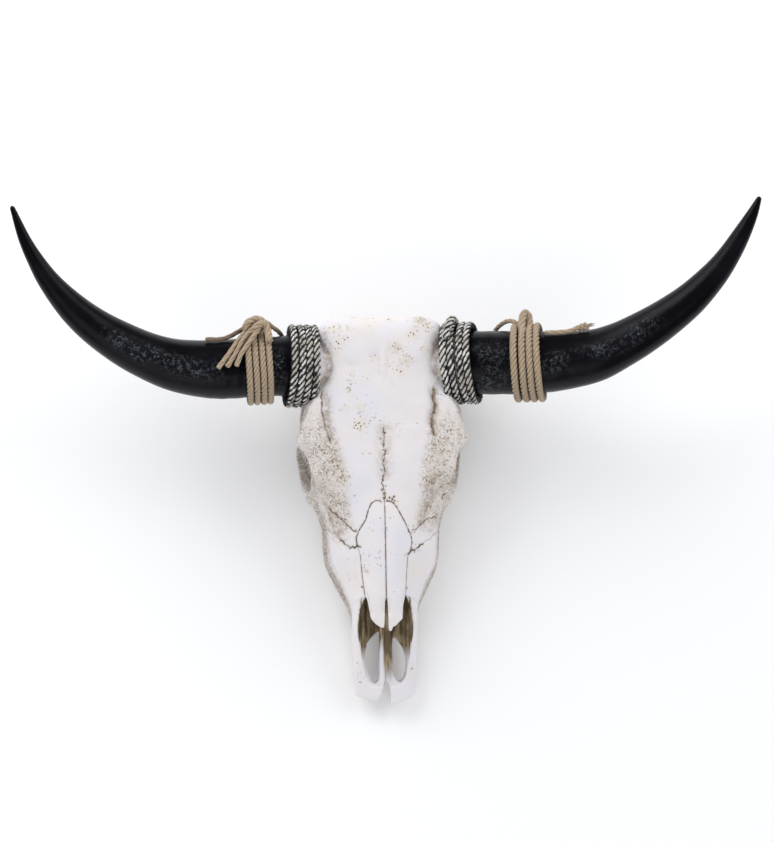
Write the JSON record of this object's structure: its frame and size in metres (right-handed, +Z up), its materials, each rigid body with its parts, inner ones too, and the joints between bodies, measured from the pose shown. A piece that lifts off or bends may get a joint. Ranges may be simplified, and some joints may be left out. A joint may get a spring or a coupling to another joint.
{
  "type": "cow skull",
  "caption": "Skull of a long-horned cow without its lower jaw, with black horns, rope bands at their roots and jute cord lashed round them.",
  "frame": {"origin": "middle of the base of the bounding box of skull and horns, on the surface that the skull lies on", "axes": "+Z up, out of the forehead; +Y from the muzzle towards the poll; +X to the right of someone who looks down on the face with the poll at the top, and left and right in the node names are that person's"},
  "size_m": [0.9196, 0.5984, 0.2746],
  "materials": {
    "bone": "dry bleached bone, smooth on the forehead and porous at the sides, with brown stain in pits and seams",
    "horn": "near-black polished horn, scratched in patches",
    "band_rope": "three-strand rope, dark in its grooves and pale silver-cream on its strands",
    "jute": "tan three-strand jute cord"
  },
  "bodies": {
    "root": {"cranium": "bone", "zygomatic_left": "bone", "zygomatic_right": "bone", "nasal_left": "bone", "nasal_right": "bone", "maxilla_left": "bone", "maxilla_right": "bone", "premaxilla_left": "bone", "premaxilla_right": "bone", "horn_left": "horn", "band_left": "band_rope", "lashing_left": "jute", "knot_left": "jute", "horn_right": "horn", "band_right": "band_rope", "lashing_right": "jute", "knot_right": "jute", "tail_left_1": "jute", "tail_left_2": "jute", "tail_left_3": "jute", "tail_left_4": "jute", "tail_right_1": "jute"}
  },
  "joints": []
}
